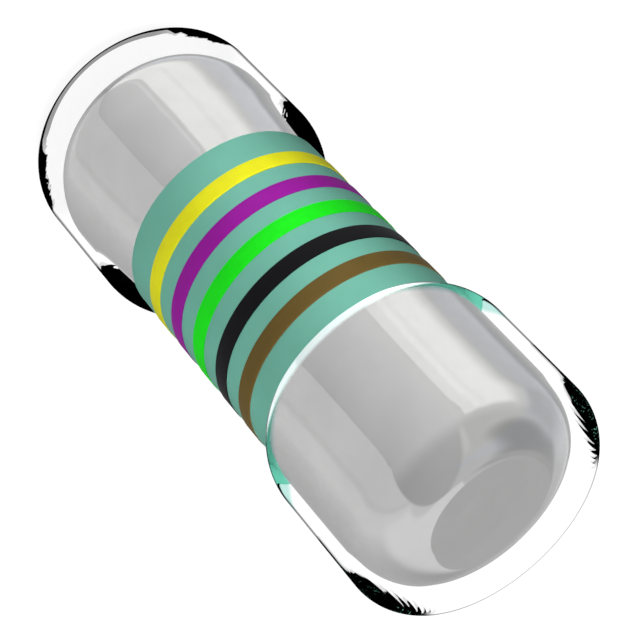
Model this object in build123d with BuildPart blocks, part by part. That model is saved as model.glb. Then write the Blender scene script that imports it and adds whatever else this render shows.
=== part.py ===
from build123d import *
from math import sqrt
import os

# A cylindrical film resistor for surface mounting, 0204 size, standing on its lower end.
# Millimetres, +Z up along the axis, origin at the centre of the lower end face.
# From the inside out: ceramic rod, trimmed metal film, two drawn caps pressed over the ends,
# lacquer between the caps with five rings of ink round it, and a clear shell over each cap.

os.makedirs("parts", exist_ok=True)

# Radii, built up layer by layer.
rod_radius = 0.47
film_thickness = 0.02
cap_wall = 0.08
lacquer_cover = 0.042  # lacquer over the rim of a cap
shell_step = 0.088  # how far a shell stands proud of the lacquer

film_radius = rod_radius + film_thickness
cap_radius = film_radius + cap_wall
lacquer_radius = cap_radius + lacquer_cover
shell_radius = lacquer_radius + shell_step

# Lengths along the axis.
shell_length = 1.104
lacquer_length = 1.324
shell_end_wall = 0.15
shoulder_height = 0.238  # the rounded step of a shell, next to the lacquer
cap_lap = 0.10  # how far the rim of a cap runs under the lacquer

overall_length = 2 * shell_length + lacquer_length
middle = overall_length / 2
cap_length = shell_length - shell_end_wall + cap_lap
rod_bottom = shell_end_wall + cap_wall
rod_length = overall_length - 2 * rod_bottom

# Rounded and bevelled edges.
shell_corner = 0.276
cap_corner = 0.245
cap_bevel = (2 - sqrt(2)) * (cap_corner - cap_wall)  # inside a cap, so that its wall stays even
rod_bevel = cap_bevel  # the end of the rod seats in the bevel of the cap

# The spiral that a laser cuts through the film, to bring the resistance to its value.
kerf_width = 0.03
trim_turns = 3
trim_margin = 0.12  # uncut film between a cap and the spiral

trim_bottom = shell_length + cap_lap + trim_margin
trim_height = overall_length - 2 * trim_bottom

# The rings of the colour code, from the bottom up: 4, 7, 5, times 1, 1 %, so 475 ohm.
band_colours = ("yellow", "violet", "green", "black", "brown")
band_width = 0.104
band_thickness = 0.004
first_band_margin = 0.194  # from the lower edge of the lacquer to the first ring
last_band_margin = 0.149  # from the last ring to the upper edge of the lacquer

first_band = shell_length + first_band_margin
last_band = shell_length + lacquer_length - last_band_margin - band_width
band_pitch = (last_band - first_band) / (len(band_colours) - 1)


# Ceramic rod with bevelled ends.
with BuildPart() as ceramic_rod:
    with BuildSketch(Plane.XY.offset(rod_bottom)):
        Circle(rod_radius)
    extrude(amount=rod_length)
    chamfer(ceramic_rod.edges().filter_by(GeomType.CIRCLE), rod_bevel)

# Metal film over the straight part of the rod, with the laser's spiral cut right through it.
with BuildPart() as resistor_film:
    with BuildSketch(Plane.XY.offset(rod_bottom + rod_bevel)):
        Circle(film_radius)
        Circle(rod_radius, mode=Mode.SUBTRACT)
    extrude(amount=rod_length - 2 * rod_bevel)
    with BuildLine() as spiral:
        Helix(trim_height / trim_turns, trim_height, film_radius, center=(0, 0, trim_bottom))
    with BuildSketch(Plane(spiral.line @ 0, x_dir=(1, 0, 0), z_dir=spiral.line % 0)):
        cut_depth = 3 * film_thickness  # well past both faces of the film
        Rectangle(cut_depth, kerf_width)
    sweep(path=spiral.line, is_frenet=True, mode=Mode.SUBTRACT)

# Outside form of a cap, which the bore of a shell also follows.
with BuildPart() as cap_blank:
    with BuildSketch(Plane.XY.offset(shell_end_wall)):
        Circle(cap_radius)
    extrude(amount=cap_length)
    fillet(cap_blank.edges().sort_by(Axis.Z)[0], cap_corner)

# Inside form of a cap, bevelled like the end of the rod.
with BuildPart() as cap_bore:
    with BuildSketch(Plane.XY.offset(rod_bottom)):
        Circle(film_radius)
    extrude(amount=cap_length - cap_wall)
    chamfer(cap_bore.edges().sort_by(Axis.Z)[0], cap_bevel)

# Plated steel cap with an even wall, open towards the lacquer.
with BuildPart() as end_cap_bottom:
    add(cap_blank.part)
    add(cap_bore.part, mode=Mode.SUBTRACT)

# Clear shell over a cap: flat end, rounded corner, straight side for soldering, and a shoulder
# that leaves the side tangentially and lands on the edge of the lacquer.
with BuildPart() as clear_shell_bottom:
    with BuildSketch(Plane.XZ):
        with BuildLine():
            side_top = (shell_radius, shell_length - shoulder_height)
            landing = (lacquer_radius, shell_length)
            Polyline((0, shell_length), (0, 0), (shell_radius, 0), side_top)
            TangentArc(side_top, landing, tangent=(0, 1))
            Line(landing, (0, shell_length))
        make_face()
    revolve(axis=Axis.Z)
    fillet(clear_shell_bottom.edges().sort_by(Axis.Z)[0], shell_corner)
    add(cap_blank.part, mode=Mode.SUBTRACT)

# The upper end is the same cap and shell turned over.
with BuildPart() as end_cap_top:
    mirror(end_cap_bottom.part, about=Plane.XY.offset(middle))

with BuildPart() as clear_shell_top:
    mirror(clear_shell_bottom.part, about=Plane.XY.offset(middle))

# Lacquer between the shells, over the film and the rims of both caps.
with BuildPart() as lacquer_coat:
    with BuildSketch(Plane.XY.offset(shell_length)):
        Circle(lacquer_radius)
        Circle(film_radius, mode=Mode.SUBTRACT)
    extrude(amount=lacquer_length)
    add([end_cap_bottom.part, end_cap_top.part], mode=Mode.SUBTRACT)

# Rings of ink printed round the lacquer.
bands = []
for place, colour in enumerate(band_colours):
    with BuildPart() as band:
        with BuildSketch(Plane.XY.offset(first_band + place * band_pitch)):
            Circle(lacquer_radius + band_thickness)
            Circle(lacquer_radius, mode=Mode.SUBTRACT)
        extrude(amount=band_width)
    band.part.label = f"{colour}_band"
    bands.append(band.part)

ceramic_rod.part.label = "ceramic_rod"
resistor_film.part.label = "resistor_film"
end_cap_bottom.part.label = "end_cap_bottom"
end_cap_top.part.label = "end_cap_top"
clear_shell_bottom.part.label = "clear_shell_bottom"
clear_shell_top.part.label = "clear_shell_top"
lacquer_coat.part.label = "lacquer_coat"

core = [ceramic_rod.part, resistor_film.part, lacquer_coat.part]
ends = [end_cap_bottom.part, end_cap_top.part, clear_shell_bottom.part, clear_shell_top.part]
for piece in core + ends + bands:
    export_step(piece, f"parts/{piece.label}.step")
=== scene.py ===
import math
from collections import namedtuple

import bmesh
import bpy
from mathutils import Matrix, Vector


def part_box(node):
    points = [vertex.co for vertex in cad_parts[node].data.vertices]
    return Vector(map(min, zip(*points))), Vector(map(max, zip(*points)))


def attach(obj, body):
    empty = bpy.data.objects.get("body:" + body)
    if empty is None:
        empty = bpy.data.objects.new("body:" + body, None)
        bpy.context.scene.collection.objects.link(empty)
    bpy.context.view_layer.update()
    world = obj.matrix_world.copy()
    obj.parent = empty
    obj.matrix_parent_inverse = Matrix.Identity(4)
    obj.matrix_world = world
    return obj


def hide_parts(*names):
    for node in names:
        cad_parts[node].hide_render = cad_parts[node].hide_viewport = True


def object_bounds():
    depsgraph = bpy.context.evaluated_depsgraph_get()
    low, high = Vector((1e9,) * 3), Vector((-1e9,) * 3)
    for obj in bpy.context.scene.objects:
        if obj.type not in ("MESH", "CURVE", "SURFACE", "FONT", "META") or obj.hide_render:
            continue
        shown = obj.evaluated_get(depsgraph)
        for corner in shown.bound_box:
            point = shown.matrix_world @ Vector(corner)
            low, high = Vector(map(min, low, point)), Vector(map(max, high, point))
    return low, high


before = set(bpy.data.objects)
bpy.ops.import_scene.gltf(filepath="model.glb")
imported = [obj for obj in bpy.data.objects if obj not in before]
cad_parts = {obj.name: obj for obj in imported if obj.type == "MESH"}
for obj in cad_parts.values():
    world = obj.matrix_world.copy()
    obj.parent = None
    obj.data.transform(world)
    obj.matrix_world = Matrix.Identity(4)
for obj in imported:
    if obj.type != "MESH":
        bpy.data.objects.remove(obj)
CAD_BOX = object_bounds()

bl_info = {
    "name": "Clear-ended cylinder resistor",
    "version": (1, 0, 0),
    "blender": (4, 5, 0),
    "location": "View3D > Sidebar > Resistor",
    "description": "Builds a lacquered film resistor with plated caps in clear end shells",
    "category": "Object",
}

BODY = "root"
ENDS = ("bottom", "top")
BANDS = ("yellow", "violet", "green", "black", "brown")

MM = 0.001
MICRON = 0.000001
HAIR = 0.6 * MICRON  # how far one surface is tucked under its neighbour
MERGE = HAIR / 20.0  # points closer than this are one point
DEGREES = 180.0 / math.pi

WHITE = (1.0, 1.0, 1.0)
BLACK = (0.0, 0.0, 0.0)
CERAMIC_SHADES = ((0.80, 0.78, 0.73), (0.90, 0.89, 0.86))
FILM_SHADES = ((0.20, 0.17, 0.14), (0.30, 0.26, 0.22))
GLASS_SHADES = (WHITE, (0.994, 0.999, 0.998))
SATIN = 0.04  # how strongly the lacquer and the inks shine


# ---------------------------------------------------------------- shader work


class Wire:
    """One output of a shader tree. Arithmetic on it adds Math nodes."""

    def __init__(self, bench, socket):
        self.bench = bench
        self.socket = socket

    def __add__(self, other):
        return self.bench.maths("ADD", self, other)

    def __radd__(self, other):
        return self.bench.maths("ADD", other, self)

    def __sub__(self, other):
        return self.bench.maths("SUBTRACT", self, other)

    def __rsub__(self, other):
        return self.bench.maths("SUBTRACT", other, self)

    def __mul__(self, other):
        return self.bench.maths("MULTIPLY", self, other)

    def __rmul__(self, other):
        return self.bench.maths("MULTIPLY", other, self)

    def __truediv__(self, other):
        return self.bench.maths("DIVIDE", self, other)

    def __pow__(self, other):
        return self.bench.maths("POWER", self, other)

    def __neg__(self):
        return self.bench.maths("SUBTRACT", 0.0, self)

    def __abs__(self):
        return self.bench.maths("ABSOLUTE", self)

    def __gt__(self, other):
        return self.bench.maths("GREATER_THAN", self, other)

    def __lt__(self, other):
        return self.bench.maths("LESS_THAN", self, other)

    def __or__(self, other):
        """The larger of two shares."""
        return self.bench.maths("MAXIMUM", self, other)


class Bench:
    """A node tree that is filled one node at a time."""

    def __init__(self, tree):
        self.tree = tree
        tree.nodes.clear()

    def node(self, kind, settings=None, feeds=None, outlet=0):
        """Adds a node, sets its settings, then fills its sockets with values or wires."""
        made = self.tree.nodes.new(kind)
        for key, value in (settings or {}).items():
            setattr(made, key, value)
        for key, value in (feeds or {}).items():
            socket = made.inputs[key]
            if isinstance(value, Wire):
                self.tree.links.new(value.socket, socket)
            elif socket.type == "RGBA" and len(value) == 3:
                socket.default_value = (*value, 1.0)
            else:
                socket.default_value = value
        return Wire(self, made.outputs[outlet]) if made.outputs else None

    def maths(self, operation, *terms):
        return self.node(
            "ShaderNodeMath", {"operation": operation}, dict(enumerate(terms))
        )

    def rising(self, value, low, high, first=0.0, second=1.0):
        """Runs smoothly from first to second as value goes from low to high."""
        return self.node(
            "ShaderNodeMapRange",
            {"interpolation_type": "SMOOTHSTEP"},
            {
                "Value": value,
                "From Min": low,
                "From Max": high,
                "To Min": first,
                "To Max": second,
            },
        )

    def falling(self, value, low, high):
        """Runs smoothly from one to nothing as value goes from low to high."""
        return self.rising(value, low, high, 1.0, 0.0)

    def place(self):
        """Where on the object a point is, in metres."""
        return self.node("ShaderNodeTexCoord", outlet="Object")

    def part(self, vector, name):
        """The X, Y or Z part of a vector."""
        return self.node("ShaderNodeSeparateXYZ", None, {0: vector}, outlet=name)

    def stretch(self, vector, scale):
        """A vector with each of its parts scaled."""
        return self.node(
            "ShaderNodeVectorMath", {"operation": "MULTIPLY"}, {0: vector, 1: scale}
        )

    def noise(self, vector, per_mm, detail=2.0, roughness=0.5):
        """Soft spots, about so many to a millimetre."""
        return self.node(
            "ShaderNodeTexNoise",
            {"noise_dimensions": "3D"},
            {
                "Vector": vector,
                "Scale": per_mm / MM,
                "Detail": detail,
                "Roughness": roughness,
            },
        )

    def blend(self, factor, first, second):
        """A colour between first and second."""
        return self.node(
            "ShaderNodeMix",
            {"data_type": "RGBA"},
            {0: factor, 6: first, 7: second},
            outlet=2,
        )

    def mottled(self, colour, spots, swing):
        """A colour that is darker between the spots and lighter in them."""
        return self.blend(
            self.rising(spots, 0.3, 0.7),
            scaled(colour, 1.0 - swing),
            scaled(colour, 1.0 + swing),
        )

    def bump(self, height, microns, strength):
        return self.node(
            "ShaderNodeBump",
            None,
            {"Height": height, "Distance": microns * MICRON, "Strength": strength},
        )

    def surface(self, feeds):
        return self.node("ShaderNodeBsdfPrincipled", None, feeds)

    def bare_glass(self, colour, index):
        """Glass that bends light and mirrors none."""
        return self.node(
            "ShaderNodeBsdfRefraction", None, {"Color": colour, "IOR": index}
        )

    def nothing(self):
        """Lets light through as if no surface were there."""
        return self.node("ShaderNodeBsdfTransparent", None, {"Color": WHITE})

    def join(self, factor, first, second):
        """The second shader laid over the first by a factor."""
        return self.node("ShaderNodeMixShader", None, {0: factor, 1: first, 2: second})

    def out(self, shader, kind="ShaderNodeOutputMaterial"):
        self.node(kind, None, {"Surface": shader})


def new_bench(name):
    material = bpy.data.materials.new(name)
    material.use_nodes = True
    return material, Bench(material.node_tree)


def scaled(colour, share):
    return tuple(part * share for part in colour)


def lacquer_finish(looks):
    """Matt teal lacquer with a soft mottle and a fine orange peel."""
    material, bench = new_bench("teal_lacquer")
    place = bench.place()
    mottle = bench.noise(place, per_mm=2.6, detail=3.0, roughness=0.6)
    peel = bench.noise(place, per_mm=16.0)
    speck = bench.noise(place, per_mm=60.0, detail=1.0)
    lacquer = bench.surface(
        {
            "Base Color": bench.mottled(looks.lacquer_colour, mottle, swing=0.04),
            "Roughness": 0.5 + 0.12 * mottle,
            "Specular IOR Level": SATIN,
            "Normal": bench.bump(peel + 0.3 * speck, microns=0.6, strength=0.6),
        }
    )
    bench.out(lacquer)
    return material


def ink_finish(name, colour):
    """Printed ink: dense colour, a little thinner in places, slightly rough."""
    material, bench = new_bench(name)
    place = bench.place()
    thin = bench.noise(place, per_mm=9.0, detail=4.0, roughness=0.6)
    grain = bench.noise(place, per_mm=42.0)
    ink = bench.surface(
        {
            "Base Color": bench.blend(
                bench.rising(thin, 0.35, 0.75), colour, scaled(colour, 0.93)
            ),
            "Roughness": 0.52 + 0.14 * grain,
            "Specular IOR Level": SATIN,
            "Normal": bench.bump(grain, microns=0.5, strength=0.6),
        }
    )
    bench.out(ink)
    return material


def plating_finish(looks):
    """Drawn steel plated with tin: soft grey gloss, fine lines round the axis, a faint bloom."""
    material, bench = new_bench("plated_metal")
    place = bench.place()
    round_axis = bench.stretch(place, (1.0, 1.0, 26.0))
    drawn = bench.noise(round_axis, per_mm=1.8, detail=3.0, roughness=0.6)
    bloom = bench.noise(place, per_mm=3.4, detail=3.0, roughness=0.55)
    grain = bench.noise(place, per_mm=38.0)
    plating = bench.surface(
        {
            "Base Color": bench.mottled(looks.plating_colour, bloom, swing=0.025),
            "Metallic": 1.0,
            "Roughness": looks.plating_roughness + 0.02 * bloom + 0.01 * drawn,
            "Normal": bench.bump(drawn + 0.4 * grain, microns=0.1, strength=0.1),
        }
    )
    bench.out(plating)
    return material


def ceramic_finish():
    """White alumina with a fine grain."""
    material, bench = new_bench("white_ceramic")
    grain = bench.noise(bench.place(), per_mm=24.0, detail=4.0, roughness=0.6)
    ceramic = bench.surface(
        {
            "Base Color": bench.blend(grain, *CERAMIC_SHADES),
            "Roughness": 0.55 + 0.2 * grain,
            "Normal": bench.bump(grain, microns=1.0, strength=0.5),
        }
    )
    bench.out(ceramic)
    return material


def film_finish():
    """Thin metal film: grey-brown with a soft sheen."""
    material, bench = new_bench("resistive_film")
    cloud = bench.noise(bench.place(), per_mm=5.2, detail=3.0)
    film = bench.surface(
        {
            "Base Color": bench.blend(cloud, *FILM_SHADES),
            "Metallic": 0.8,
            "Roughness": 0.3 + 0.15 * cloud,
            "Normal": bench.bump(cloud, microns=0.4, strength=0.5),
        }
    )
    bench.out(film)
    return material


class PaintedEdges:
    """Painted shade: black laid over the clear shell where light that slants inside it is lost,
    which draws its dark edges.

    Slant runs from 0, straight at the surface, to 1, along it. Distances from the crown and
    from the foot are in shell corners.
    """

    TEETH = 230.0  # in a full turn
    TOOTH = 0.07  # how far a tooth moves the edge of the dark, in slant
    CHIP = 0.08  # how far chips in the teeth move it

    # how much less slant is enough to paint the shade where the light is lost
    CROWN_SOONER = 0.10
    FOOT_SOONER = 0.11
    JOINT_SOONER = 0.05
    FRONT_SOONER = 0.03

    SHARP = 0.004  # half the step from clear to black
    SOFT = 0.008  # half the step from clear to grey

    def __init__(self, bench, sizes, looks):
        self.bench = bench
        self.limit = looks.edge_slant
        self.place = bench.place()
        self.height = bench.part(self.place, "Z")
        self.slant = bench.node("ShaderNodeLayerWeight", None, {"Blend": 0.5}, "Facing")
        self.inside = bench.node("ShaderNodeNewGeometry", outlet="Backfacing")
        self.outside = 1.0 - self.inside
        mirrors = bench.node("ShaderNodeLightPath", outlet="Glossy Depth")
        self.direct = 1.0 - (mirrors > 0.5)
        self.from_crown = (CAD_BOX[1][2] - self.height) / sizes.shell_corner
        self.from_foot = (self.height - CAD_BOX[0][2]) / sizes.shell_corner
        self.above_joint = self.height - reach("lacquer_coat").high

    def teeth(self):
        """Uneven teeth on the edge of the painted shade, that run along the shell."""
        across = abs(self.bench.part(self.place, "X"))
        bearing = self.bench.maths("ARCTAN2", self.bench.part(self.place, "Y"), across)
        saw = self.bench.maths("FRACT", bearing * self.TEETH / math.tau)
        drawn = self.bench.stretch(self.place, (1.0, 1.0, 0.15))
        chips = self.bench.noise(drawn, per_mm=60.0, detail=1.0)
        return self.TOOTH * (saw - 0.5) + self.CHIP * (chips - 0.5)

    def crown_share(self):
        """The painted dark wedges on the sides of the upper corner."""
        return self.bench.falling(self.from_crown, 1.1, 2.5)

    def foot_rim(self):
        """The shell's lowest part, by the floor."""
        return self.bench.falling(self.from_foot, 0.15, 0.30)

    def back(self):
        """All of the shell but the part nearest the lens."""
        return self.bench.rising(self.bench.part(self.place, "Y"), -0.32 * MM, -0.18 * MM)

    def foot_share(self):
        """The painted dark crescents on the back half of the lower rim."""
        chips = self.bench.noise(self.place, per_mm=16.0, roughness=0.6)
        ragged = 1.0 + 2.0 * (chips - 0.5)
        return self.foot_rim() * self.back() * ragged

    def joint_share(self):
        """The painted dark patches beside the lower joint."""
        below = self.height < reach("lacquer_coat").low + HAIR
        chips = self.bench.noise(self.place, per_mm=40.0, roughness=0.6)
        ragged = self.from_foot + 0.8 * (chips - 0.5)
        return self.bench.rising(ragged, 1.32, 1.42) * below

    def dark(self):
        """One where black is painted for the light that is lost."""
        crown = self.crown_share()
        front = self.foot_rim() * (1.0 - self.back())
        sooner = (
            self.CROWN_SOONER * crown
            | self.FOOT_SOONER * self.foot_share()
            | self.JOINT_SOONER * self.joint_share()
            | self.FRONT_SOONER * front
        )
        slant = self.slant + self.direct * crown * self.teeth()
        past = slant - self.limit + self.direct * sooner
        # Painted shade: black past the slant limit, and a painted grey band just before it.
        lost = self.bench.rising(past, -self.SHARP, self.SHARP)
        grey_lead = 0.018 + 0.082 * front
        grey = (0.28 + 0.38 * front) * self.bench.rising(past + grey_lead, -self.SOFT, self.SOFT)
        lost = lost | grey * self.direct
        below_crown = self.bench.rising(self.from_crown, 0.90, 1.0)
        # Painted shade: a dark outline on the outside where the shell is seen at a slant.
        outline = self.bench.rising(self.slant, 0.83, 0.89) * (0.60 + 0.15 * below_crown)
        return lost * self.inside * below_crown | outline * self.outside

    def painted_glints(self):
        """Painted glints: small specks that glow in the lacquer's colour in the outer part of the
        wedges.
        """
        specks = self.bench.rising(
            self.bench.noise(self.place, per_mm=130.0, detail=1.0), 0.62, 0.70
        )
        clusters = self.bench.rising(
            self.bench.noise(self.place, per_mm=9.0, detail=1.0), 0.50, 0.58
        )
        outer = self.bench.rising(self.slant, 0.56, 0.60) * self.crown_share()
        return 0.8 * specks * (outer * clusters)


def clear_part(bench, edges, looks):
    """Clear glass: it mirrors a little where it is looked at straight. Beside the upper joint,
    where it is seen at a slant, it has a painted tint of the lacquer's colour in place of the
    lacquer seen through the shoulder."""
    haze = bench.blend(bench.noise(edges.place, per_mm=2.2), *GLASS_SHADES)
    gloss = bench.surface(
        {
            "Base Color": haze,
            "Roughness": 0.0,
            "IOR": looks.shell_index,
            "Transmission Weight": 1.0,
        }
    )
    bare = bench.bare_glass(WHITE, looks.shell_index)
    painted_tint = bench.bare_glass(looks.painted_flare_colour, looks.shell_index)
    glass = bench.join(bench.rising(edges.slant, 0.30, 0.55), gloss, bare)
    # Painted lacquer tint: only beside the upper joint, on the outside where the shell is seen at
    # a slant.
    flare = bench.rising(edges.above_joint, 0.04 * MM, 0.12 * MM)
    flare = flare * bench.falling(edges.above_joint, 0.32 * MM, 0.38 * MM)
    flare = flare * bench.rising(edges.slant, 0.56, 0.70) * edges.outside
    return bench.join(flare, glass, painted_tint)


def with_lip(bench, edges, looks, glass):
    """The glass with a bright lip laid over it where it meets the lacquer's upper end."""
    outward = bench.node(
        "ShaderNodeVectorMath",
        {"operation": "NORMALIZE"},
        {0: bench.stretch(edges.place, (1.0, 1.0, 0.0))},
    )
    shine = bench.node(
        "ShaderNodeBsdfGlossy",
        None,
        {"Color": looks.lip_colour, "Roughness": 0.12, "Normal": outward},
    )
    height = looks.lip_height
    lip = bench.falling(edges.above_joint, height * 0.75, height * 1.3)
    lip = lip * (edges.above_joint > -height)
    lip = lip * bench.rising(edges.slant, 0.36, 0.50) * edges.outside
    return bench.join(lip, glass, shine)


def shell_finish(sizes, looks):
    """Clear shell with a bright lip at the upper joint and painted dark edges. It casts no shadow.
    """
    material, bench = new_bench("clear_shell")
    edges = PaintedEdges(bench, sizes, looks)
    glass = with_lip(bench, edges, looks, clear_part(bench, edges, looks))
    # Painted shade: a black surface laid over the glass where the dark edges are painted.
    lost = bench.surface(
        {
            "Base Color": BLACK,
            "Roughness": 1.0,
            "Specular IOR Level": 0.0,
            # Painted glints: emission in the lacquer's colour on the black of the painted edges.
            "Emission Color": bench.blend(edges.painted_glints(), BLACK, looks.lacquer_colour),
            "Emission Strength": 1.0,
        }
    )
    shell = bench.join(edges.dark(), glass, lost)
    shadow = bench.node("ShaderNodeLightPath", outlet="Is Shadow Ray")
    bench.out(bench.join(shadow, shell, bench.nothing()))
    return material


class Surround:
    """What polished metal finds round it: soft boxes and cards, laid one over another.

    A bearing is in degrees, 0 towards the lens; a rise is in degrees above level. An edge
    is a pair: where it is, and how far it fades to each side of that.
    """

    WALL = 0.89
    COOL = (0.99, 1.0, 1.04)
    WARM = (1.0, 1.0, 0.98)
    CANOPY_TIP = -38.6

    def __init__(self, bench):
        self.bench = bench
        heading = bench.node("ShaderNodeTexCoord", outlet="Generated")
        across = bench.part(heading, "X")
        along = bench.part(heading, "Y")
        up = bench.part(heading, "Z")
        level_part = (1.0 - up * up) ** 0.5
        self.bearing = bench.maths("ARCTAN2", across, -along) * DEGREES
        self.rise = bench.maths("ARCSINE", up) * DEGREES
        from_top = bench.maths("MINIMUM", 90.0 - self.rise, 90.0)
        self.aside = from_top * across / level_part
        self.toward = -(from_top * along / level_part)
        self.deep = self.short_of(self.rise, (-38.0, 3.0))
        self.level = self.WALL

    def beyond(self, value, edge):
        """One past the edge."""
        return self.bench.rising(value, edge[0] - edge[1], edge[0] + edge[1])

    def short_of(self, value, edge):
        """One until the edge."""
        return self.bench.falling(value, edge[0] - edge[1], edge[0] + edge[1])

    def between(self, value, first, last):
        return self.beyond(value, first) * self.short_of(value, last)

    def oval(self, wide, tall, fade):
        """Inside an oval. Its two ways are each a value, its middle and half the size."""
        ring = ((wide[0] - wide[1]) / wide[2]) ** 2 + ((tall[0] - tall[1]) / tall[2]) ** 2
        return self.short_of(ring, (1.0, fade))

    def curve(self, along, start, slope, bend):
        """How far aside a bent edge is, as it goes along."""
        return start + slope * along + bend * along * along

    def card(self, brightness, left=None, right=None, low=None, high=None, shape=1.0):
        """Lays a card over what is there, inside the edges that are given."""
        if left:
            shape = shape * self.beyond(self.bearing, left)
        if right:
            shape = shape * self.short_of(self.bearing, right)
        if low:
            shape = shape * self.beyond(self.rise, low)
        if high:
            shape = shape * self.short_of(self.rise, high)
        self.level = self.level + shape * (brightness - self.level)

    def tint(self):
        """Daylight at the back left is a little cool, the window light a little warm."""
        cool = self.between(self.bearing, (-158.0, 8.0), (-110.0, 8.0))
        warm = self.between(self.bearing, (-104.0, 8.0), (-38.0, 8.0))
        return self.bench.blend(warm, self.bench.blend(cool, WHITE, self.COOL), self.WARM)

    def studio(self):
        """How bright the surround is in each direction."""
        self.back_left()
        self.window_light()
        self.right_and_overhead()
        self.end_wall()
        return self.level

    def back_left(self):
        """A dark soft patch high up, over a wall that falls off to the back."""
        leaning = self.rise - 0.18 * self.bearing
        patch = self.oval((self.bearing, -132.0, 48.0), (leaning, 66.7, 15.0), fade=0.9)
        self.card(0.68, left=(-176.0, 3.0), right=(-148.0, 8.0), low=(20.0, 4.0), high=(46.0, 5.0))
        self.card(0.54, left=(-166.0, 4.0), shape=patch)
        self.card(1.02, right=(-100.0, 8.0), high=(18.0, 6.0))
        self.card(0.88, right=(-160.0, 5.0), low=(-4.0, 3.0), high=(18.0, 4.0))
        self.card(0.80, left=(-146.0, 10.0), right=(-112.0, 6.0), high=(24.0, 7.0))
        self.card(0.90 + 0.12 * self.deep, right=(-104.0, 6.0), high=(-12.0, 6.0))
        self.card(0.60, right=(-146.0, 7.0), high=(-14.0, 4.0))

    def window_light(self):
        """The long bright box on the left, with two thinner strips in it."""
        self.card(1.12, left=(-104.0, 4.0), right=(-26.0, 3.0), high=(20.0, 14.0))
        leaning = self.bearing - 7.0 * self.deep
        box = self.short_of(leaning, (-43.5, 1.6)) * self.beyond(self.bearing, (-95.0, 9.0))
        top = (13.0, 5.0)
        self.card(1.54, high=top, shape=box)
        self.card(1.46, left=(-67.0, 1.5), right=(-61.0, 1.5), high=top, shape=box)
        self.card(1.42, left=(-54.0, 1.5), high=top, shape=box * (1.0 - self.deep))

    def right_and_overhead(self):
        """A pointed dark canopy overhead, and the lighter wall that its right edge cuts off."""
        ahead = self.toward - self.CANOPY_TIP
        right_edge = self.curve(ahead, start=3.9, slope=0.79, bend=-0.0029)
        left_edge = self.curve(ahead, start=4.5, slope=-0.25, bend=-0.0017)
        past_right = self.aside + 17.0 * self.deep - right_edge
        past_left = self.aside - left_edge
        in_front = self.beyond(ahead, (0.0, 1.0))

        wall = self.beyond(past_right, (0.0, 1.5)) * self.beyond(self.bearing, (0.0, 1.0))
        top = (56.0, 3.0)
        self.card(0.98, shape=wall)
        self.card(0.93, left=(75.0, 2.0), right=(81.0, 2.0), shape=wall)
        self.card(1.06, left=(84.0, 3.0), high=top, shape=wall)
        self.card(1.70 - 0.0066 * self.bearing, left=(107.0, 6.0), high=(20.0, 9.0), shape=wall)
        self.card(1.16, left=(96.0, 8.0), low=(24.0, 8.0), high=top, shape=wall)

        canopy = self.beyond(past_left, (0.0, 2.0)) * self.short_of(past_right, (0.0, 1.5))
        canopy = canopy * in_front
        self.card(0.72 - 0.0028 * self.aside, shape=canopy)
        self.card(0.96 - 0.0046 * self.bearing, high=(24.0, 20.0), shape=canopy)
        self.card(1.24, right=(-28.0, 2.5), shape=canopy * self.deep)

        rim = self.between(past_left, (-7.0, 3.0), (-2.0, 3.0))
        self.card(1.02, shape=rim * self.between(ahead, (45.0, 12.0), (85.0, 12.0)))

    def end_wall(self):
        """What the flat ends mirror: an even grey patch straight behind."""
        turned = abs(self.bearing)
        straight_behind = self.beyond(turned, (171.0, 7.0))
        self.card(0.78, low=(-14.0, 4.0), high=(16.0, 8.0), shape=straight_behind)
        patch = self.oval((self.aside, 0.0, 8.0), (self.toward, -67.0, 7.0), fade=0.15)
        self.card(0.735, shape=patch * self.beyond(turned, (90.0, 1.0)))


# ------------------------------------------------------------------ mesh work

Reach = namedtuple("Reach", "radius low high")


def reach(node):
    """A round node's outer radius, lowest height and highest height."""
    low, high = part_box(node)
    return Reach(high[0], low[2], high[2])


def arc(centre, radius, start, stop, steps):
    """Points on an arc in the half plane of radius and height; angles in degrees."""
    points = []
    for step in range(steps + 1):
        turned = math.radians(start + (stop - start) * step / steps)
        points.append(
            (centre[0] + radius * math.cos(turned), centre[1] + radius * math.sin(turned))
        )
    return points


def round_over(side, top, radius, steps):
    """The rounded corner from a flat top down to an upright side."""
    return arc((side - radius, top - radius), radius, 90.0, 0.0, steps)


def ladder(start, stop, steps):
    """Points on a straight line between two points, both included."""
    return [
        (
            start[0] + (stop[0] - start[0]) * step / steps,
            start[1] + (stop[1] - start[1]) * step / steps,
        )
        for step in range(steps + 1)
    ]


def facing(end, outline):
    """An outline that is drawn for the top end, turned over where it is for the bottom."""
    if end == "top":
        return outline
    both_heights = CAD_BOX[0][2] + CAD_BOX[1][2]
    return [(radius, both_heights - height) for radius, height in outline]


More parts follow.
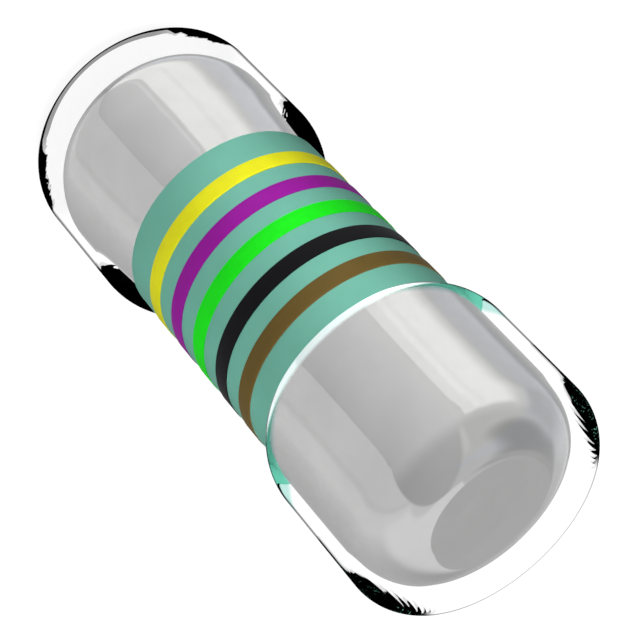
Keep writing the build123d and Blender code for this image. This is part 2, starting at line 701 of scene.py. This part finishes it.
def turn(name, outline, material, node, crease=28.0):
    """Turns a closed outline of radius and height round the Z axis into one clean solid."""
    sizes, _ = settings()
    work = bmesh.new()
    columns = []
    for segment in range(sizes.segments):
        turned = math.tau * segment / sizes.segments
        columns.append(
            [
                work.verts.new((radius * math.cos(turned), radius * math.sin(turned), height))
                for radius, height in outline
            ]
        )
    for segment, here in enumerate(columns):
        there = columns[(segment + 1) % sizes.segments]
        for step, point in enumerate(outline):
            after = (step + 1) % len(outline)
            along_axis = point[0] <= 0.0 and outline[after][0] <= 0.0
            if not along_axis:
                work.faces.new((here[step], there[step], there[after], here[after]))
    bmesh.ops.remove_doubles(work, verts=work.verts, dist=MERGE)
    bmesh.ops.dissolve_degenerate(work, edges=work.edges, dist=MERGE)
    bmesh.ops.recalc_face_normals(work, faces=work.faces)
    mesh = bpy.data.meshes.new(name)
    work.to_mesh(mesh)
    work.free()
    mesh.shade_smooth()
    mesh.set_sharp_from_angle(angle=math.radians(crease))
    mesh.materials.append(material)
    piece = bpy.data.objects.new(name, mesh)
    bpy.context.scene.collection.objects.link(piece)
    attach(piece, BODY)
    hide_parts(node)


# -------------------------------------------------------------------- settings


def length_setting(name, text, default):
    return bpy.props.FloatProperty(
        name=name, description=text, default=default, unit="LENGTH", precision=6
    )


def number_setting(name, text, default, **limits):
    return bpy.props.FloatProperty(name=name, description=text, default=default, **limits)


def share_setting(name, text, default):
    return number_setting(name, text, default, min=0.0, max=1.0, subtype="FACTOR")


def angle_setting(name, text, degrees):
    return number_setting(name, text, math.radians(degrees), subtype="ANGLE")


def colour_setting(name, text, default):
    return bpy.props.FloatVectorProperty(
        name=name, description=text, default=default, subtype="COLOR", size=3
    )


class ResistorSizes(bpy.types.PropertyGroup):
    """Rounded corners and walls of the solids, which their boxes don't give."""

    shoulder_height: length_setting(
        "Shoulder height", "Height of the shell's flared shoulder", 0.000238
    )
    shell_corner: length_setting("Shell corner", "Radius of the shell's outer corner", 0.000276)
    cap_corner: length_setting("Cap corner", "Radius of the cap's outer corner", 0.000245)
    cap_wall: length_setting("Cap wall", "Thickness of the cap's metal", 0.00008)
    cap_lap: length_setting("Cap lap", "How far the lacquer laps over the cap", 0.0001)
    segments: bpy.props.IntProperty(
        name="Segments", description="Faces round each turned piece", default=192, min=24
    )


class ResistorLooks(bpy.types.PropertyGroup):
    """Colours and finishes."""

    lacquer_colour: colour_setting("Lacquer", "Colour of the body lacquer", (0.182, 0.502, 0.392))
    yellow: colour_setting("Yellow", "First ring", (0.871, 0.839, 0.021))
    violet: colour_setting("Violet", "Second ring", (0.328, 0.0144, 0.342))
    green: colour_setting("Green", "Third ring", (0.016, 0.871, 0.016))
    black: colour_setting("Black", "Fourth ring", (0.007, 0.007, 0.008))
    brown: colour_setting("Brown", "Fifth ring", (0.150, 0.098, 0.027))
    plating_colour: colour_setting("Plating", "Colour of the plated caps", (0.50, 0.50, 0.498))
    plating_roughness: share_setting(
        "Plating roughness", "How far the caps blur what they mirror", 0.03
    )
    shell_index: number_setting(
        "Shell bending", "How strongly the clear shell bends light", 1.08, min=1.0, max=2.0
    )
    # Where the painted dark edges of the shell begin.
    edge_slant: share_setting(
        "Shell edge",
        "How far light must slant inside the shell to be lost, which draws its edges",
        0.603,
    )
    lip_height: length_setting("Lip", "Height of the bright lip at the upper joint", 0.000073)
    lip_colour: colour_setting("Lip colour", "Colour of the bright lip", (0.88, 1.0, 0.99))
    # Colour of the painted lacquer tint on the shell's shoulder.
    painted_flare_colour: colour_setting(
        "Flare", "Tint of the shell beside its upper joint", (0.52, 0.80, 0.75)
    )


class StageLooks(bpy.types.PropertyGroup):
    """Camera, lamps and floor."""

    lens: number_setting("Lens", "Focal length in millimetres", 103.79, min=1.0, unit="CAMERA")
    camera_back: length_setting("Camera distance", "From the axis, level", 0.0077236)
    camera_height: length_setting("Camera height", "Above the floor", 0.0073873)
    camera_pitch: angle_setting("Camera pitch", "How far the camera looks down", 35.157)
    camera_pan: angle_setting("Camera pan", "How far the camera looks aside", 0.1176)
    camera_roll: angle_setting("Camera roll", "How far the camera leans", 137.83)
    key_light: number_setting("Key", "Brightness of the strip beside the lens", 6.4)
    fill_light: number_setting("Fill", "Brightness of the strip on the other side", 4.1)
    back_light: number_setting("Back", "Brightness of the two lamps behind", 1.6)
    top_light: number_setting("Top", "Light that falls straight down on the floor", 1.2)
    room_light: number_setting("Room", "Light that comes from all round", 0.04)
    shadow_share: share_setting("Shadow", "How much of the shadow the floor shows", 0.12)


def settings():
    return bpy.context.scene.resistor_sizes, bpy.context.scene.resistor_looks


# ------------------------------------------------------------------- operators


class RESISTOR_OT_core(bpy.types.Operator):
    """Gives the ceramic rod and its film their finishes"""

    bl_idname = "resistor.core"
    bl_label = "Rod and film"

    def execute(self, context):
        finishes = {"ceramic_rod": ceramic_finish(), "resistor_film": film_finish()}
        for node, material in finishes.items():
            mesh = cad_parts[node].data
            mesh.materials.clear()
            mesh.materials.append(material)
        return {"FINISHED"}


class RESISTOR_OT_caps(bpy.types.Operator):
    """Turns the two plated caps, each a drawn cup"""

    bl_idname = "resistor.caps"
    bl_label = "Caps"

    def execute(self, context):
        sizes, looks = settings()
        cap = reach("end_cap_top")
        outer = cap.radius + HAIR
        high = cap.high + HAIR
        inner = outer - sizes.cap_wall
        inner_high = high - sizes.cap_wall
        corner = sizes.cap_corner
        outline = (
            [(0.0, high)]
            + round_over(outer, high, corner, steps=20)
            + ladder((outer, high - corner), (outer, cap.low), steps=10)[1:]
            + [(inner, cap.low)]
            + round_over(inner, inner_high, corner - sizes.cap_wall, steps=10)[::-1]
            + [(0.0, inner_high)]
        )
        material = plating_finish(looks)
        for end in ENDS:
            turn("plated_cap_" + end, facing(end, outline), material, "end_cap_" + end)
        return {"FINISHED"}


class RESISTOR_OT_shells(bpy.types.Operator):
    """Turns the two clear shells, each a cup with a flared shoulder"""

    bl_idname = "resistor.shells"
    bl_label = "Clear shells"

    def execute(self, context):
        sizes, looks = settings()
        outer, joint, high = reach("clear_shell_top")
        body = reach("lacquer_coat").radius
        cap = reach("end_cap_top")
        corner = sizes.shell_corner
        step = outer - body
        flare = (sizes.shoulder_height ** 2 + step ** 2) / (2.0 * step)
        flare_turn = math.degrees(math.asin(sizes.shoulder_height / flare))
        shoulder = joint + sizes.shoulder_height
        tuck = 20.0 * HAIR
        foot = joint - tuck
        outline = (
            [(0.0, high)]
            + round_over(outer, high, corner, steps=28)
            + ladder((outer, high - corner), (outer, shoulder), steps=8)[1:-1]
            + arc((outer - flare, shoulder), flare, 0.0, -flare_turn, steps=28)
            + [(body - tuck, joint - tuck / 4.0), (body - tuck, foot), (cap.radius, foot)]
            + round_over(cap.radius, cap.high, sizes.cap_corner, steps=20)[::-1]
            + [(0.0, cap.high)]
        )
        material = shell_finish(sizes, looks)
        for end in ENDS:
            turn(
                "glass_shell_" + end,
                facing(end, outline),
                material,
                "clear_shell_" + end,
            )
        return {"FINISHED"}


class RESISTOR_OT_body(bpy.types.Operator):
    """Turns the lacquer sleeve, which laps over both caps"""

    bl_idname = "resistor.body"
    bl_label = "Lacquer"

    def execute(self, context):
        sizes, looks = settings()
        outer, low, high = reach("lacquer_coat")
        cap = reach("end_cap_top").radius
        film = reach("resistor_film").radius
        lap = sizes.cap_lap
        outline = (
            ladder((outer, low), (outer, high), steps=24)
            + [(cap, high), (cap, high - lap), (film, high - lap)]
            + [(film, low + lap), (cap, low + lap), (cap, low)]
        )
        turn("lacquer_sleeve", outline, lacquer_finish(looks), "lacquer_coat")
        return {"FINISHED"}


class RESISTOR_OT_rings(bpy.types.Operator):
    """Lays the five colour rings on the lacquer"""

    bl_idname = "resistor.rings"
    bl_label = "Colour rings"

    def execute(self, context):
        _, looks = settings()
        body = reach("lacquer_coat").radius
        under = body - HAIR
        for band in BANDS:
            outer, low, high = reach(band + "_band")
            edge = (outer - body) / 2.0
            outline = (
                arc((outer - edge, low + edge), edge, -90.0, 0.0, steps=4)
                + round_over(outer, high, edge, steps=4)[::-1]
                + [(under, high), (under, low)]
            )
            ink = ink_finish("ink_" + band, getattr(looks, band))
            turn("ring_" + band, outline, ink, band + "_band")
        return {"FINISHED"}


class RESISTOR_OT_stage(bpy.types.Operator):
    """Sets up the floor, the lamps, the room and the camera"""

    bl_idname = "resistor.stage"
    bl_label = "Stage"

    def execute(self, context):
        stage = context.scene.resistor_stage
        self.lay_floor(stage)
        self.light_room(stage)
        self.hang_lamps(stage)
        self.set_camera(stage)
        context.scene.view_settings.view_transform = "Standard"
        return {"FINISHED"}

    def sort_rays(self, bench):
        """Rays that look straight at something or through clear pieces, and rays off polish."""
        path = "ShaderNodeLightPath"
        off_polish = bench.node(path, outlet="Glossy Depth") > 0.5
        off_matt = bench.node(path, outlet="Diffuse Depth") > 0.5
        mirrored = off_polish * (1.0 - off_matt)
        through_clear = bench.node(path, outlet="Is Transmission Ray")
        looking = bench.node(path, outlet="Is Camera Ray") | through_clear
        return looking * (1.0 - mirrored), mirrored

    def lay_floor(self, stage):
        """A white floor that keeps a share of the shadow and can't be seen from below."""
        mesh = bpy.data.meshes.new("studio_floor")
        half = 0.5
        corners = ((-half, -half), (half, -half), (half, half), (-half, half))
        mesh.from_pydata([(x, y, 0.0) for x, y in corners], [], [(0, 1, 2, 3)])

        material, bench = new_bench("pale_floor")
        seen, mirrored = self.sort_rays(bench)
        diffuse = "ShaderNodeBsdfDiffuse"
        dim = bench.node(diffuse, None, {"Color": scaled(WHITE, 0.08)})
        pale = bench.node(diffuse, None, {"Color": scaled(WHITE, 0.92)})
        glow = bench.node("ShaderNodeEmission", None, {"Color": WHITE, "Strength": 1.0})
        plain = bench.join(
            seen * (1.0 - stage.shadow_share), bench.join(seen, dim, pale), glow
        )
        from_below = bench.node("ShaderNodeNewGeometry", outlet="Backfacing")
        bench.out(bench.join(mirrored | from_below, plain, bench.nothing()))

        mesh.materials.append(material)
        floor = bpy.data.objects.new("studio_floor", mesh)
        bpy.context.scene.collection.objects.link(floor)

    def light_room(self, stage):
        """White to look at, the surround in what is mirrored, and faint light on all else."""
        world = bpy.data.worlds.new("studio_room")
        bpy.context.scene.world = world
        world.use_nodes = True
        bench = Bench(world.node_tree)
        seen, mirrored = self.sort_rays(bench)
        surround = Surround(bench)
        level = stage.room_light + mirrored * (surround.studio() - stage.room_light)
        level = level + seen * (1.0 - level)
        tint = bench.blend(seen, surround.tint(), WHITE)
        sky = bench.node("ShaderNodeBackground", None, {"Color": tint, "Strength": level})
        bench.out(sky, "ShaderNodeOutputWorld")

    def hang_lamps(self, stage):
        """Two upright strips close to the lacquer, two soft lamps behind, and light from above."""
        strip = (0.3 * MM, 4.2 * MM)
        strips = (("key_strip", -24.0, stage.key_light), ("fill_strip", 51.0, stage.fill_light))
        for name, bearing, brightness in strips:
            self.hang_lamp(name, bearing, 1.53 * MM, strip[1] / 2.0, strip, brightness)
        square = (8.0 * MM, 8.0 * MM)
        for name, bearing in (("back_lamp_left", -160.0), ("back_lamp_right", 160.0)):
            self.hang_lamp(name, bearing, 12.0 * MM, 5.0 * MM, square, stage.back_light)
        sun = bpy.data.lights.new("top_lamp", "SUN")
        sun.angle = math.radians(4.0)
        sun.energy = math.pi * stage.top_light
        self.place_lamp(sun, (0.0, 0.0, 20.0 * MM), (0.0, 0.0, 1.0))

    def hang_lamp(self, name, bearing, distance, height, sides, brightness):
        """A soft lamp that faces the axis; brightness is its radiance, where white is 1."""
        lamp = bpy.data.lights.new(name, "AREA")
        lamp.shape = "RECTANGLE"
        lamp.size, lamp.size_y = sides
        lamp.energy = brightness * math.pi * sides[0] * sides[1]
        heading = math.radians(bearing)
        away = Vector((math.sin(heading), -math.cos(heading), 0.0))
        spot = away * distance
        spot.z = height
        self.place_lamp(lamp, spot, away)

    def place_lamp(self, lamp, spot, away):
        """Puts a lamp at a spot, turned so that it shines back from away. It isn't seen."""
        holder = bpy.data.objects.new(lamp.name, lamp)
        bpy.context.scene.collection.objects.link(holder)
        holder.location = spot
        holder.rotation_mode = "QUATERNION"
        holder.rotation_quaternion = (-Vector(away)).to_track_quat("-Z", "Y")
        holder.visible_camera = False
        holder.visible_glossy = False
        holder.visible_transmission = False

    def set_camera(self, stage):
        data = bpy.data.cameras.new("studio_camera")
        data.lens = stage.lens
        data.clip_start = 0.1 * MM
        data.clip_end = 10.0
        camera = bpy.data.objects.new("studio_camera", data)
        bpy.context.scene.collection.objects.link(camera)
        level = Matrix.Rotation(math.pi / 2.0 - stage.camera_pitch, 4, "X")
        pan = Matrix.Rotation(stage.camera_pan, 4, "Z")
        lean = Matrix.Rotation(stage.camera_roll, 4, "Z")
        stand = Matrix.Translation((0.0, -stage.camera_back, stage.camera_height))
        camera.matrix_world = stand @ pan @ level @ lean
        bpy.context.scene.camera = camera


STEPS = (
    RESISTOR_OT_stage,
    RESISTOR_OT_core,
    RESISTOR_OT_caps,
    RESISTOR_OT_body,
    RESISTOR_OT_rings,
    RESISTOR_OT_shells,
)

GROUPS = {
    "resistor_sizes": ResistorSizes,
    "resistor_looks": ResistorLooks,
    "resistor_stage": StageLooks,
}


class RESISTOR_PT_panel(bpy.types.Panel):
    """Lists the sizes, the finishes and the steps"""

    bl_idname = "RESISTOR_PT_panel"
    bl_label = "Resistor"
    bl_space_type = "VIEW_3D"
    bl_region_type = "UI"
    bl_category = "Resistor"

    def draw(self, context):
        for group in GROUPS:
            values = getattr(context.scene, group)
            box = self.layout.box()
            for key in values.bl_rna.properties.keys():
                if key not in ("rna_type", "name"):
                    box.prop(values, key)
        for step in STEPS:
            self.layout.operator(step.bl_idname)


def register():
    for name, group in GROUPS.items():
        bpy.utils.register_class(group)
        setattr(bpy.types.Scene, name, bpy.props.PointerProperty(type=group))
    for step in STEPS:
        bpy.utils.register_class(step)
    bpy.utils.register_class(RESISTOR_PT_panel)


def unregister():
    bpy.utils.unregister_class(RESISTOR_PT_panel)
    for step in reversed(STEPS):
        bpy.utils.unregister_class(step)
    for name, group in GROUPS.items():
        delattr(bpy.types.Scene, name)
        bpy.utils.unregister_class(group)


def main():
    register()
    bpy.ops.resistor.stage()
    bpy.ops.resistor.core()
    bpy.ops.resistor.caps()
    bpy.ops.resistor.body()
    bpy.ops.resistor.rings()
    bpy.ops.resistor.shells()
    bpy.context.view_layer.update()


if __name__ == "__main__":
    main()
